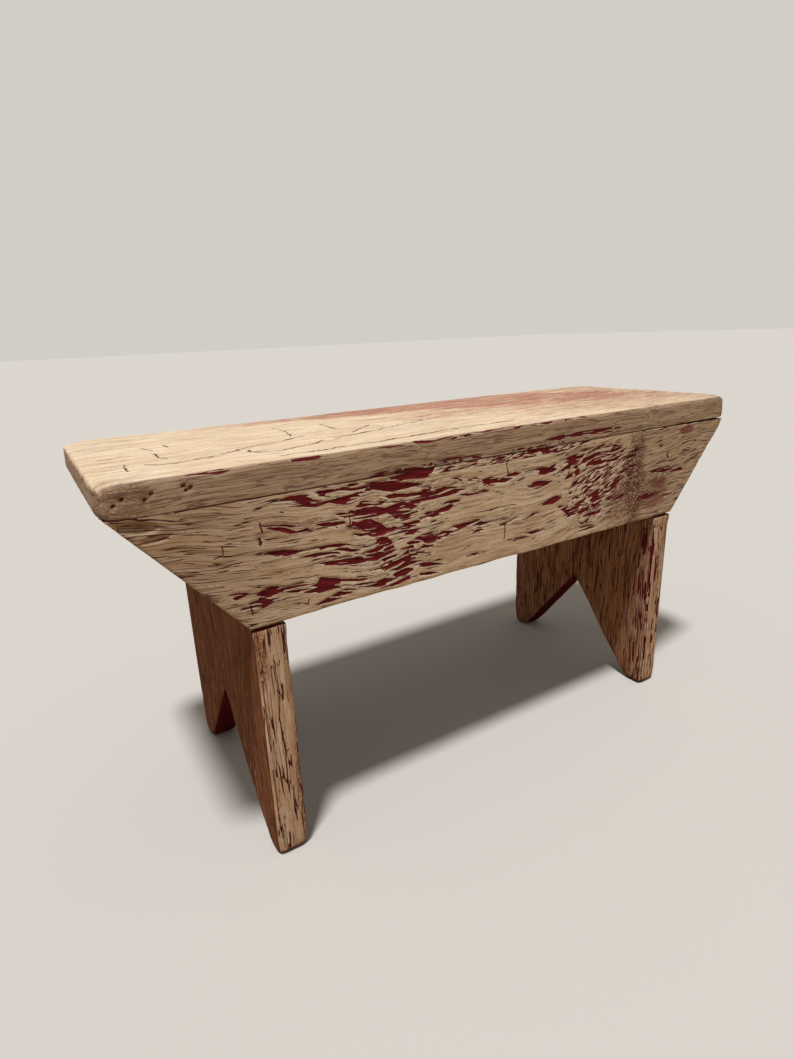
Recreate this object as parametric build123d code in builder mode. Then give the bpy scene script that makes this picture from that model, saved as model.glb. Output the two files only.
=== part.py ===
"""Bucket bench: a low five-board bench, nailed together.

One seat board lies on two board legs and two aprons. Each leg has a V sawn out of its foot and a housing
cut into each upper corner, and the aprons lie in the housings, flush with the edges of the legs and seat.
Cut nails, set below the surface, hold the boards.

Origin: centre of the bench on the floor. X runs along the bench, Y from front to back, Z up. Millimetres.
"""

import os

from build123d import *

os.makedirs("parts", exist_ok=True)

# Overall sizes
bench_length = 610.0
bench_depth = 203.0
bench_height = 308.0

# Seat board
seat_thickness = 22.0
seat_corner_radius = 8.0
seat_arris_radius = 3.0

# Leg boards, vertical, with the grain upright
leg_thickness = 26.5
leg_spread = 450.0  # over the outer faces of the two legs
leg_arris_radius = 2.0
notch_height = 98.0  # floor to the point of the V
foot_width = 21.5  # what the V leaves of the leg at the floor, front and rear

# Aprons, with ends sawn on a slant from the seat's end down to the leg
apron_height = 91.0
apron_thickness = 20.0
apron_end_inset = 3.0  # seat's end to the upper corner of the apron
apron_arris_radius = 1.5
shoulder_gap = 1.0  # open joint between the apron's lower edge and the housing's shoulder

# Cut nails
nail_length = 50.0
nail_head_length = 5.0
nail_head_width = 4.2
nail_head_thickness = 1.4
nail_shank_width = 3.6
nail_tip_width = 1.8
nail_shank_thickness = 2.4
nail_set = 1.5  # depth of the head below the surface
nail_clearance = 0.05

# Nailing pattern
seat_apron_nail_count = 4
seat_apron_nail_pitch = 120.0
seat_leg_nail_pitch = 60.0
apron_nail_below_seat = 29.0
apron_nail_above_edge = 22.0

# Levels and lines that the boards share
seat_underside = bench_height - seat_thickness
apron_underside = seat_underside - apron_height
half_depth = bench_depth / 2
leg_outer_face = leg_spread / 2
leg_centre = leg_outer_face - leg_thickness / 2
apron_centre = half_depth - apron_thickness / 2
notch_half_width = half_depth - foot_width

LEFT, RIGHT = -1, 1
FRONT, REAR = -1, 1


def seat_leg_nail_spots(end):
    """Heads of the nails that go down through the seat into the leg at one end."""
    level = bench_height - nail_set
    return [Location((end * leg_centre, y * seat_leg_nail_pitch / 2, level)) for y in (FRONT, REAR)]


def seat_apron_nail_spots(face):
    """Heads of the nails that go down through the seat into one apron, in an even row."""
    level = bench_height - nail_set
    middle = (seat_apron_nail_count - 1) / 2
    row = [(number - middle) * seat_apron_nail_pitch for number in range(seat_apron_nail_count)]
    return [Location((x, face * apron_centre, level)) for x in row]


def apron_leg_nail_spots(face, end):
    """Heads of the two nails that go through one apron into the edge of the leg at one end."""
    levels = (apron_underside + apron_nail_above_edge, seat_underside - apron_nail_below_seat)
    head_plane = face * (half_depth - nail_set)
    return [
        Plane(origin=(end * leg_centre, head_plane, level), x_dir=(1, 0, 0), z_dir=(0, face, 0)).location
        for level in levels
    ]


# One cut nail, pointing down, with the top of its head at the origin
with BuildPart() as cut_nail:
    with BuildSketch() as head:
        Rectangle(nail_head_length, nail_head_width)
    extrude(amount=-nail_head_thickness)
    with BuildSketch(Plane.XY.offset(-nail_head_thickness)) as shank_top:
        Rectangle(nail_shank_width, nail_shank_thickness)
    with BuildSketch(Plane.XY.offset(-nail_length)) as shank_tip:
        Rectangle(nail_tip_width, nail_shank_thickness)
    loft(sections=[shank_top.sketch, shank_tip.sketch])

# The hole that the nail makes, with the open pocket above its sunk head
slack = 2 * nail_clearance
with BuildPart() as nail_bore:
    with BuildSketch(Plane.XY.offset(-nail_head_thickness - nail_clearance)) as pocket:
        Rectangle(nail_head_length + slack, nail_head_width + slack)
    extrude(amount=nail_head_thickness + nail_clearance + 2 * nail_set)
    with BuildSketch(Plane.XY.offset(-nail_head_thickness)) as bore_top:
        Rectangle(nail_shank_width + slack, nail_shank_thickness + slack)
    with BuildSketch(Plane.XY.offset(-nail_length - nail_clearance)) as bore_tip:
        Rectangle(nail_tip_width + slack, nail_shank_thickness + slack)
    loft(sections=[bore_top.sketch, bore_tip.sketch])

# Seat board: rounded corners, worn arrises
with BuildPart() as seat_board:
    with BuildSketch(Plane.XY.offset(seat_underside)) as seat_outline:
        Rectangle(bench_length, bench_depth)
        fillet(seat_outline.vertices(), radius=seat_corner_radius)
    extrude(amount=seat_thickness)
    fillet(seat_board.faces().sort_by(Axis.Z)[-1].edges(), radius=seat_arris_radius)
    with Locations(*seat_leg_nail_spots(LEFT), *seat_leg_nail_spots(RIGHT)):
        add(nail_bore.part, mode=Mode.SUBTRACT)
    with Locations(*seat_apron_nail_spots(FRONT), *seat_apron_nail_spots(REAR)):
        add(nail_bore.part, mode=Mode.SUBTRACT)

seat_board.part.label = "seat_board"
export_step(seat_board.part, "parts/seat_board.step")

# Aprons: long upper edge under the seat, slanted ends, lower edge as long as the spread of the legs
for name, face in (("front_apron", FRONT), ("rear_apron", REAR)):
    with BuildPart() as apron:
        with BuildSketch(Plane.XZ.offset(-face * half_depth)) as apron_outline:
            with BuildLine() as apron_edges:
                upper_corner = (bench_length / 2 - apron_end_inset, seat_underside)
                lower_corner = (leg_outer_face, apron_underside)
                Polyline((0, seat_underside), upper_corner, lower_corner, (0, apron_underside))
                mirror(about=Plane.YZ)
            make_face()
        extrude(amount=face * apron_thickness)
        outer_face = apron.faces().filter_by(Axis.Y).sort_by(Axis.Y)[0 if face == FRONT else -1]
        fillet(outer_face.edges().sort_by(Axis.Z)[:-1], radius=apron_arris_radius)
        with Locations(*seat_apron_nail_spots(face)):
            add(nail_bore.part, mode=Mode.SUBTRACT)
        with Locations(*apron_leg_nail_spots(face, LEFT), *apron_leg_nail_spots(face, RIGHT)):
            add(nail_bore.part, mode=Mode.SUBTRACT)
    apron.part.label = name
    export_step(apron.part, f"parts/{name}.step")

# Legs: board on end, V sawn out of the foot, a housing for the apron in each upper corner
for name, end in (("left_leg", LEFT), ("right_leg", RIGHT)):
    with BuildPart() as leg:
        with BuildSketch(Plane.YZ.offset(end * leg_centre)) as leg_outline:
            with BuildLine() as leg_edges:
                shoulder = apron_underside - shoulder_gap
                housing = half_depth - apron_thickness
                Polyline(
                    (0, notch_height),
                    (notch_half_width, 0),
                    (half_depth, 0),
                    (half_depth, shoulder),
                    (housing, shoulder),
                    (housing, seat_underside),
                    (0, seat_underside),
                )
                mirror(about=Plane.YZ)
            make_face()
        extrude(amount=leg_thickness / 2, both=True)
        below_shoulder = leg.edges().filter_by_position(Axis.Z, 0, apron_underside, (True, False))
        worn = below_shoulder.filter_by(lambda edge: edge.bounding_box().size.Z > leg_arris_radius)
        soles = leg.faces().group_by(Axis.Z)[0].edges()
        fillet(worn + soles, radius=leg_arris_radius)
        with Locations(*seat_leg_nail_spots(end)):
            add(nail_bore.part, mode=Mode.SUBTRACT)
        with Locations(*apron_leg_nail_spots(FRONT, end), *apron_leg_nail_spots(REAR, end)):
            add(nail_bore.part, mode=Mode.SUBTRACT)
    leg.part.label = name
    export_step(leg.part, f"parts/{name}.step")

# Nails, grouped by the joint that they hold
nail_groups = {
    "seat_nails_left_leg": seat_leg_nail_spots(LEFT),
    "seat_nails_right_leg": seat_leg_nail_spots(RIGHT),
    "seat_nails_front_apron": seat_apron_nail_spots(FRONT),
    "seat_nails_rear_apron": seat_apron_nail_spots(REAR),
    "front_apron_nails_left_leg": apron_leg_nail_spots(FRONT, LEFT),
    "front_apron_nails_right_leg": apron_leg_nail_spots(FRONT, RIGHT),
    "rear_apron_nails_left_leg": apron_leg_nail_spots(REAR, LEFT),
    "rear_apron_nails_right_leg": apron_leg_nail_spots(REAR, RIGHT),
}
for name, spots in nail_groups.items():
    with BuildPart() as nails:
        with Locations(*spots):
            add(cut_nail.part)
    nails.part.label = name
    export_step(nails.part, f"parts/{name}.step")
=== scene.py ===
# %% [markdown]
# # A bucket bench in old crackled paint
# Five boards nailed together, painted oxblood red, and years later painted cream. The cream shrank and tore
# open along the grain, so the red looks out through openings shaped like flames.
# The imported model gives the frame: where each board and nail is, at its real size. Every board gets a finely
# meshed twin here that can carry worn arrises and torn paint. The nails stay as they are and get rust.

# %% Load the frame
import math
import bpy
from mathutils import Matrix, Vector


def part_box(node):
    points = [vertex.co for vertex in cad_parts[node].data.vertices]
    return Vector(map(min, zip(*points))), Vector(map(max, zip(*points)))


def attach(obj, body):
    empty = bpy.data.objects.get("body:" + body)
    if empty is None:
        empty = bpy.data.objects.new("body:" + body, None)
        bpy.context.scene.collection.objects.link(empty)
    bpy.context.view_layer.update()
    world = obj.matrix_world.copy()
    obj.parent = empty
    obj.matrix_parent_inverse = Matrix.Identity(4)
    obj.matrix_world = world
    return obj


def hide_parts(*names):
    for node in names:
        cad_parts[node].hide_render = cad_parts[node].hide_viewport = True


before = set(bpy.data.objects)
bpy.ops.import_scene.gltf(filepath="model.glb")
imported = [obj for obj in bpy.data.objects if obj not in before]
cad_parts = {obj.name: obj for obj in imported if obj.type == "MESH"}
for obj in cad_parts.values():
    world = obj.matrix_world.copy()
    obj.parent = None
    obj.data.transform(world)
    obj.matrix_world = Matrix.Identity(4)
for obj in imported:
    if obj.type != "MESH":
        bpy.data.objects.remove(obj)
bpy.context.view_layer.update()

from types import SimpleNamespace

import bmesh
import bpy
from mathutils import Matrix, Vector

MM = 0.001
scene = bpy.context.scene
print("nodes:", sorted(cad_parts))

# %% [markdown]
# ## The view
# A camera is a lens and a place. It could be tracked to a target, but a small roll and an aim beside the
# middle of the bench are easier to keep as three angles: how far round, how far up, and how tilted.

# %% Camera
VIEW_ROUND = math.radians(-31.186)
VIEW_UP = math.radians(17.769)
VIEW_ROLL = math.radians(-2.327)
CAMERA_PLACE = Vector((-334.56, -478.15, 384.35)) * MM
LENS = 21.06
SENSOR = 36.0


def aimed_matrix(place, around, above, roll):
    """A camera's matrix at that place: it looks back along the direction given by the two angles."""
    back = Vector(
        (
            math.sin(around) * math.cos(above),
            -math.cos(around) * math.cos(above),
            math.sin(above),
        )
    )
    right = (-back).cross(Vector((0, 0, 1))).normalized()
    up = right.cross(-back)
    across = right * math.cos(roll) + up * math.sin(roll)
    along = up * math.cos(roll) - right * math.sin(roll)
    turn = Matrix((across, along, back)).transposed().to_4x4()
    return Matrix.Translation(place) @ turn


camera = bpy.data.objects.new("camera", bpy.data.cameras.new("camera"))
camera.data.lens = LENS
camera.data.sensor_width = SENSOR
camera.matrix_world = aimed_matrix(CAMERA_PLACE, VIEW_ROUND, VIEW_UP, VIEW_ROLL)
camera.data.clip_start = 10 * MM
scene.collection.objects.link(camera)
scene.camera = camera
print("camera at", [round(v, 3) for v in camera.location], "m with a", LENS, "mm lens")

# %% [markdown]
# ## Expressions that build nodes
# Both shaders and geometry trees are graphs of nodes. Written out one by one they hide the idea, so a small
# class wraps a socket, and `+`, `*` or `1 - mask` add the Math nodes. Everything else comes from one method,
# which takes the kind of node, its settings and its sockets. A socket goes by its name, or by its number
# where names repeat.


# %% A graph that grows node by node
class Graph:
    """A shader tree or a geometry tree that grows as expressions are written."""

    def __init__(self, tree):
        self.tree = tree

    def node(self, kind, settings=None, sockets=None, output=0):
        """Adds a node: its settings first, then the values or links of its sockets. Returns one output."""
        made = self.tree.nodes.new(kind)
        for name, value in (settings or {}).items():
            setattr(made, name, value)
        for name, value in (sockets or {}).items():
            if isinstance(value, Wire):
                self.tree.links.new(value.socket, made.inputs[name])
            else:
                made.inputs[name].default_value = value
        return Wire(self, made.outputs[output]) if made.outputs else made

    def maths(self, operation, *values):
        return self.node("ShaderNodeMath", {"operation": operation}, dict(enumerate(values)))

    def vector_maths(self, operation, *vectors, output=0):
        sockets = dict(enumerate(vectors))
        return self.node("ShaderNodeVectorMath", {"operation": operation}, sockets, output)

    def vector(self, x, y, z):
        return self.node("ShaderNodeCombineXYZ", {}, {0: x, 1: y, 2: z})

    def split(self, vector):
        first = self.node("ShaderNodeSeparateXYZ", {}, {0: vector})
        return [Wire(self, socket) for socket in first.socket.node.outputs]

    def mix(self, factor, first, second):
        """Blends two colours. The colours are the Mix node's inputs 6 and 7, and its output 2."""
        return self.node("ShaderNodeMix", {"data_type": "RGBA"}, {0: factor, 6: first, 7: second}, 2)

    def mix_vectors(self, factor, first, second):
        """Blends two vectors. They are the Mix node's inputs 4 and 5, and its output 1."""
        return self.node("ShaderNodeMix", {"data_type": "VECTOR"}, {0: factor, 4: first, 5: second}, 1)

    def ease(self, value, start, end, low=0.0, high=1.0):
        """Low before start, high after end, and a smooth change between them."""
        limits = {"Value": value, 1: start, 2: end, 3: low, 4: high}
        return self.node("ShaderNodeMapRange", {"interpolation_type": "SMOOTHSTEP"}, limits)

    def noise(self, place, detail=2.0, roughness=0.5, output=0):
        """Soft noise whose lumps are about one unit of place across. It averages 0.5."""
        sockets = {"Vector": place, "Scale": 1.0, "Detail": detail, "Roughness": roughness}
        return self.node("ShaderNodeTexNoise", {}, sockets, output)

    def flakes(self, place, feature="DISTANCE_TO_EDGE", output="Distance"):
        """Cells about one unit of place across: the distance to their edge, or each cell's own colour."""
        settings = {"feature": feature}
        return self.node("ShaderNodeTexVoronoi", settings, {"Vector": place, "Scale": 1.0}, output)

    def stretched(self, place, along, across, through, shift=0.0):
        """Place counted in lumps that are so long, wide and deep in metres."""
        sizes = (1 / along, 1 / across, 1 / through)
        return self.vector_maths("MULTIPLY_ADD", place, sizes, (shift, shift, shift))


# %% A wire that carries a value
class Wire:
    """One socket that carries a value. Arithmetic on it adds Math nodes."""

    def __init__(self, graph, socket):
        self.graph = graph
        self.socket = socket

    def __add__(self, other):
        return self.graph.maths("ADD", self, other)

    def __radd__(self, other):
        return self.graph.maths("ADD", other, self)

    def __sub__(self, other):
        return self.graph.maths("SUBTRACT", self, other)

    def __rsub__(self, other):
        return self.graph.maths("SUBTRACT", other, self)

    def __mul__(self, other):
        return self.graph.maths("MULTIPLY", self, other)

    def __rmul__(self, other):
        return self.graph.maths("MULTIPLY", other, self)

    def __truediv__(self, other):
        return self.graph.maths("DIVIDE", self, other)

    def __abs__(self):
        return self.graph.maths("ABSOLUTE", self)

    def least(self, other):
        return self.graph.maths("MINIMUM", self, other)

    def most(self, other):
        return self.graph.maths("MAXIMUM", self, other)


trial = bpy.data.node_groups.new("trial", "ShaderNodeTree")
mask = 1 - abs(Wire(Graph(trial), trial.nodes.new("ShaderNodeValue").outputs[0])) * 2
print("1 - abs(value) * 2 is a", type(mask).__name__, "over", len(trial.nodes), "nodes")
bpy.data.node_groups.remove(trial)

# %% [markdown]
# ## Board outlines
# Each board is a plank with a sawn outline. The outlines are worked out from the boxes of the model's nodes,
# so they follow it if the seat, an apron or a leg changes size. The model's own meshes hold the bored nail
# holes, which the paint covers, so a fresh outline is cleaner than mending those.

# %% Measure the boards
NOTCH_HEIGHT = 98 * MM
FOOT_WIDTH = 21.5 * MM
SHOULDER_GAP = 1 * MM
SEAT_CORNER = 9 * MM  # a little rounder than the model's, from handling
SPARE = 6 * MM  # extra wood at a joint, cut off again at the end

seat_low, seat_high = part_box("seat_board")
apron_low, apron_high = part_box("front_apron")
rear_low, rear_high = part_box("rear_apron")
left_low, left_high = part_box("left_leg")
right_low, right_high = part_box("right_leg")
HALF_LENGTH = seat_high.x
HALF_DEPTH = seat_high.y
TOP = seat_high.z
UNDER_SEAT = seat_low.z
APRON_FOOT = apron_low.z
APRON_INNER = -apron_high.y
LEG_OUT = right_high.x
LEG_IN = right_low.x
LEG_MIDDLE = (LEG_OUT + LEG_IN) / 2
print("seat", round(HALF_LENGTH * 2, 3), "by", round(HALF_DEPTH * 2, 3), "m, top at", round(TOP, 3))
print("aprons from", round(APRON_FOOT, 3), "to", round(UNDER_SEAT, 3), "m up")
print("legs", round(LEG_OUT - LEG_IN, 4), "m thick")


# %% Outlines as lists of corners
def rounded_rectangle(half_x, half_y, radius, steps=8):
    """Corners of a rectangle with round corners, anticlockwise."""
    points = []
    for turn in range(4):
        sign_x = 1 if turn in (0, 3) else -1
        sign_y = 1 if turn in (0, 1) else -1
        centre = Vector((sign_x * (half_x - radius), sign_y * (half_y - radius)))
        for step in range(steps + 1):
            angle = math.pi / 2 * (turn + step / steps)
            points.append(centre + radius * Vector((math.cos(angle), math.sin(angle))))
    return points


END_RUN = (apron_high.x - LEG_OUT) / (UNDER_SEAT - APRON_FOOT)
seat_outline = rounded_rectangle(HALF_LENGTH, HALF_DEPTH, SEAT_CORNER)
apron_outline = [
    Vector(corner)
    for corner in (
        (-apron_high.x - SPARE * END_RUN, UNDER_SEAT + SPARE),
        (-LEG_OUT, APRON_FOOT),
        (LEG_OUT, APRON_FOOT),
        (apron_high.x + SPARE * END_RUN, UNDER_SEAT + SPARE),
    )
]
shoulder = APRON_FOOT - SHOULDER_GAP
leg_half_outline = [
    (0, NOTCH_HEIGHT),
    (HALF_DEPTH - FOOT_WIDTH, 0),
    (HALF_DEPTH, 0),
    (HALF_DEPTH, shoulder),
    (APRON_INNER, shoulder),
    (APRON_INNER, UNDER_SEAT),
]
leg_outline = [Vector(corner) for corner in leg_half_outline]
leg_outline += [Vector((-y, z)) for y, z in reversed(leg_half_outline[1:])]
for label, outline in (("seat", seat_outline), ("apron", apron_outline), ("leg", leg_outline)):
    print(label, "outline has", len(outline), "corners")

# %% [markdown]
# ## Sawing
# A board has two equal faces and a narrow edge all round. An extruded curve would give that too, but a few
# lines of bmesh build it straight from the corners, and leave a plain closed mesh with no modifier on it. The
# boards that meet at the joint under the seat get some spare wood there, which is cut off after ageing.

# %% Saw a board from its outline
def sawn_board(name, outline, place, start, end):
    """A closed board: the outline, set by place(a, b, depth), pushed from one depth to the other."""
    form = bmesh.new()
    near = [form.verts.new(place(a, b, start)) for a, b in outline]
    far = [form.verts.new(place(a, b, end)) for a, b in outline]
    form.faces.new(near)
    form.faces.new(reversed(far))
    for number in range(len(outline)):
        after = (number + 1) % len(outline)
        form.faces.new((near[after], near[number], far[number], far[after]))
    bmesh.ops.recalc_face_normals(form, faces=form.faces)
    mesh = bpy.data.meshes.new(name)
    form.to_mesh(mesh)
    form.free()
    board = bpy.data.objects.new(name, mesh)
    scene.collection.objects.link(board)
    return board


def lying(a, b, depth):
    return Vector((a, b, depth))


def facing_front(a, b, depth):
    return Vector((a, depth, b))


def facing_end(a, b, depth):
    return Vector((depth, a, b))


boards = {
    "seat": sawn_board("worn_seat", seat_outline, lying, UNDER_SEAT - SPARE, TOP),
    "front_apron": sawn_board("worn_front_apron", apron_outline, facing_front, apron_low.y, apron_high.y),
    "rear_apron": sawn_board("worn_rear_apron", apron_outline, facing_front, rear_low.y, rear_high.y),
    "left_leg": sawn_board("worn_left_leg", leg_outline, facing_end, left_low.x, left_high.x),
    "right_leg": sawn_board("worn_right_leg", leg_outline, facing_end, right_low.x, right_high.x),
}
for name, board in boards.items():
    print(name, "corners:", len(board.data.vertices))

# %% [markdown]
# ## How the cream tore open
# The paint shrank along lines that follow the grain, and each tear ended in a point, like a flame or a lens.
# Painting that by hand would need a picture. Here the grain is bent a little first, and cells much longer
# than wide are laid on it. A cell is open or not by lot, and the odds follow how crowded the tears are there.
# What stays between two open cells is a thin slanting strand, as on the real film. The same function is used
# in the geometry, where it cuts the film's thickness, and in the shader, where it gives the colour.

# %% Sizes of the tears
FILM = 0.6 * MM  # thickness of the cream
WAVE_REACH = 3.4 * MM  # how far the grain swings where tears are crowded
CURL_REACH = 2.6 * MM  # the same for the small openings
JAG = 0.4 * MM  # how ragged an edge is
NARROW = 0.09  # the strand left round a large cell, as a share of its width
COMBED = 0.22  # slope of the small openings
STRAND = 0.13  # the strand left between two slivers of a large tear
SLIVER = (52 * MM, 3.5 * MM, 9 * MM)
WHOLLY_INSIDE = 2.5 * MM
print("film", FILM / MM, "mm thick, slivers", SLIVER[0] / MM, "by", SLIVER[1] / MM, "mm")


# %% Places of the tears
def crowd(graph, place_a, place_b, spots):
    """The highest of several soft oval spots: (a, b, half length, half width, slope, strength)."""
    total = None
    for a, b, length, width, slope, strength in spots:
        along = (place_a - a * MM) * (1 / (length * MM))
        across = (place_b - b * MM - (place_a - a * MM) * slope) * (1 / (width * MM))
        spot = graph.ease(along * along + across * across, 0.25, 1.3, strength, 0.0)
        total = spot if total is None else total.most(spot)
    return total


def lenses(place_a, place_b, tears):
    """Inside pointed tears this is above 0, in metres from their edge: (a, b, length, width, slope, bow)."""
    total = None
    for a, b, length, width, slope, bow in tears:
        off = place_a - a * MM
        along = abs(off) * (1.6 / (length * MM))
        line = off * slope + along * along * (bow * MM)
        across = abs(place_b - b * MM - line)
        taper = 1 - along * (along * 0.3 + 0.7)
        room = taper * (width * 0.7 * MM) - across
        total = room if total is None else total.most(room)
    return total


# %% The torn film
def torn(graph, weave, crowding, tears, cell):
    """Metres inside an opening of the film. Below 0 the cream holds, and its rim is where this nears 0."""
    along, across = cell
    u, v, w = graph.split(weave)
    wave = graph.noise(graph.stretched(weave, 26 * MM, 9 * MM, 9 * MM, 11.0), 1.0) - 0.5
    busy = graph.ease(crowding.most(tears * (1 / WHOLLY_INSIDE)), 0.1, 0.7, 0.3, 1.0)
    flow = graph.vector(u, v + wave * busy * WAVE_REACH, w)
    jag = graph.noise(graph.stretched(weave, 5 * MM, 1.3 * MM, 1.3 * MM), 1.0) - 0.5

    # Cells of two sizes: small combed ones in the middle of a crowd, large ones round it
    fine = graph.ease(crowding, 0.5, 0.72)
    curl = graph.noise(graph.stretched(weave, 9 * MM, 6 * MM, 6 * MM, 5.0), 1.0) - 0.5
    combed = graph.vector(u, v + curl * CURL_REACH - u * COMBED, w)
    cells = None
    for share, size_along, size_across, odds, strand, bent in (
        (1 - fine, along, across, 0.62, NARROW, flow),
        (fine, along * 0.5, across * 0.6, 1.05, NARROW * 1.6, combed),
    ):
        place = graph.stretched(bent, size_along, size_across, size_across * 1.3)
        lot = graph.split(graph.flakes(place, "F1", "Color"))[0]
        chosen = graph.ease(crowding * odds - lot, -0.01, 0.01, -1.0, 1.0)
        inside = graph.flakes(place) - strand - (1 - crowding) * 0.1
        opened = (inside * size_across).least(chosen * across).least((share - 0.5) * across)
        cells = opened if cells is None else cells.most(opened)

    # Short slits round the crowd, and strands of cream left across the large tears
    line = abs(graph.noise(graph.stretched(weave, along * 1.5, across, across * 1.5, 2.3), 2.0) - 0.5)
    gate = graph.noise(graph.stretched(weave, along * 0.7, across * 1.5, across * 2, 6.1), 1.0)
    slits = (graph.ease(gate, 0.42, 0.66) * crowding * 0.15 - line) * (across * 2.2)
    slits = slits - graph.ease(crowding, 0.3, 0.0, 0.0, 4 * MM) - fine * (0.45 * MM)
    tangle = graph.noise(graph.stretched(flow, 24 * MM, 8 * MM, 9 * MM, 3.7), 1.0)
    loose = graph.ease(tangle, 0.52, 0.64, 0.0, 3 * MM)
    slivers = graph.flakes(graph.stretched(flow, *SLIVER, 8.8))
    slivers = (slivers - STRAND) * SLIVER[1] + loose
    return tears.least(slivers).most(cells).most(slits) + jag * JAG


# %% [markdown]
# ## Worn boards
# A board that was used for a century has no sharp arris. Blurring the positions of a fine mesh rounds every
# edge and leaves the flats alone. A light and a heavy blur, mixed by noise, give arrises that are soft here
# and crisp there. Geometry Nodes do this, because the same rule shapes all five boards.

# %% Marks that stay on the mesh
KEPT_MARKS = ("crowding", "tears", "rubbed", "grime", "pebbled", "cream")
print("marks:", ", ".join(KEPT_MARKS))


def keep(graph, geometry, name, value, kind="FLOAT"):
    """Stores a value on each point of the mesh under that name."""
    settings = {"data_type": kind, "domain": "POINT"}
    sockets = {"Geometry": geometry, "Name": name, "Value": value}
    return graph.node("GeometryNodeStoreNamedAttribute", settings, sockets)


# %% Geometry tree for one kind of board
def worn_board_tree(name, ruling, cell):
    """A tree that ages a plain board. ruling(graph, place, normal) says where its tears and wear are."""
    tree = bpy.data.node_groups.new(name, "GeometryNodeTree")
    graph = Graph(tree)
    for label, kind, value in (
        ("Board", "NodeSocketGeometry", None),
        ("Light wear", "NodeSocketInt", 3),
        ("Heavy wear", "NodeSocketInt", 40),
        ("Film", "NodeSocketFloat", FILM),
        ("Paint", "NodeSocketMaterial", None),
    ):
        socket = tree.interface.new_socket(name=label, in_out="INPUT", socket_type=kind)
        if value is not None:
            socket.default_value = value
    tree.interface.new_socket(name="Board", in_out="OUTPUT", socket_type="NodeSocketGeometry")
    given = tree.nodes.new("NodeGroupInput")
    board, light_wear, heavy_wear, film, paint = (Wire(graph, given.outputs[number]) for number in range(5))
    place = graph.node("GeometryNodeInputPosition")
    normal = graph.node("GeometryNodeInputNormal")
    marks = ruling(graph, place, normal)
    geometry = keep(graph, board, "weave", marks["weave"], "FLOAT_VECTOR")
    geometry = keep(graph, geometry, "plank", place, "FLOAT_VECTOR")
    for label in KEPT_MARKS:
        geometry = keep(graph, geometry, label, marks[label])
    settings = {"data_type": "FLOAT_VECTOR"}
    light = graph.node("GeometryNodeBlurAttribute", settings, {"Value": place, "Iterations": light_wear})
    heavy = graph.node("GeometryNodeBlurAttribute", settings, {"Value": place, "Iterations": heavy_wear})
    worn = graph.mix_vectors(marks["wear"], light, heavy)
    field = torn(graph, marks["weave"], marks["crowding"], marks["tears"], cell)
    hole = graph.ease(field, -0.4 * MM, 0.3 * MM) * marks["cream"]
    rise = hole * film * -1 - marks["sunk"]
    sink = graph.node("ShaderNodeVectorMath", {"operation": "SCALE"}, {0: normal, "Scale": rise})
    moved = graph.vector_maths("ADD", worn, sink)
    geometry = graph.node("GeometryNodeSetPosition", {}, {"Geometry": geometry, "Position": moved})
    geometry = graph.node("GeometryNodeSetShadeSmooth", {}, {"Geometry": geometry})
    geometry = graph.node("GeometryNodeRealizeInstances", {}, {"Geometry": geometry})
    geometry = graph.node("GeometryNodeSetMaterial", {}, {"Geometry": geometry, "Material": paint})
    out = tree.nodes.new("NodeGroupOutput")
    tree.links.new(geometry.socket, out.inputs[0])
    print(name, "tree has", len(tree.nodes), "nodes")
    return tree


# %% Mesh, age and trim a board
def trim(mesh, point, outward):
    """Cuts off what lies beyond a plane, on the side that outward points to, and closes the cut."""
    form = bmesh.new()
    form.from_mesh(mesh)
    everything = form.verts[:] + form.edges[:] + form.faces[:]
    plane = {"plane_co": point, "plane_no": outward}
    cut = bmesh.ops.bisect_plane(form, geom=everything, **plane, clear_outer=True, dist=1e-7)
    rim = [piece for piece in cut["geom_cut"] if isinstance(piece, bmesh.types.BMEdge)]
    lids = bmesh.ops.edgeloop_fill(form, edges=rim)["faces"]
    bmesh.ops.triangulate(form, faces=lids)
    form.to_mesh(mesh)
    form.free()


def shape_with(tree, board, voxel, cuts, **settings):
    """Meshes the board finely, runs the tree on it, trims it and keeps the result as a plain mesh."""
    fine = board.modifiers.new("fine mesh", "REMESH")
    fine.mode = "VOXEL"
    fine.voxel_size = voxel
    ageing = board.modifiers.new("ageing", "NODES")
    ageing.node_group = tree
    for socket in tree.interface.items_tree:
        if socket.in_out == "INPUT" and socket.name in settings:
            ageing[socket.identifier] = settings[socket.name]
    evaluation = bpy.context.evaluated_depsgraph_get()
    shaped = board.evaluated_get(evaluation)
    mesh = bpy.data.meshes.new_from_object(shaped, preserve_all_data_layers=True, depsgraph=evaluation)
    board.modifiers.clear()
    board.data = mesh
    for point, outward in cuts:
        trim(mesh, point, outward)
    print(board.name, "has", sum(len(face.vertices) - 2 for face in mesh.polygons), "triangles")
    return board


# %% [markdown]
# ## What a ruling is
# Each kind of board has a ruling: the places where its paint is crowded with tears, rubbed, grimy or
# crumbled, and how deep it is sunk. Painting weights by hand on the mesh would do it, but they would be lost
# when a size changes. Soft ovals and pointed lenses at chosen places say the same in a few numbers.

# %% Shared helpers for the rulings
def wander(graph, place, sizes, seed=0.0, detail=1.5):
    """Three slow random offsets, each about -0.5 to 0.5."""
    drift = graph.noise(graph.stretched(place, *sizes, seed), detail, output=1)
    return [part - 0.5 for part in graph.split(drift)]


def dimples(graph, place_a, place_b, heads, radius, depth):
    """Round hollows at a list of (a, b) places in metres."""
    total = None
    for a, b in heads:
        off_a = place_a - a
        off_b = place_b - b
        away = graph.maths("SQRT", off_a * off_a + off_b * off_b)
        hollow = graph.ease(away, radius * 0.6, radius, depth, 0.0)
        total = hollow if total is None else total.most(hollow)
    return total


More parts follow.
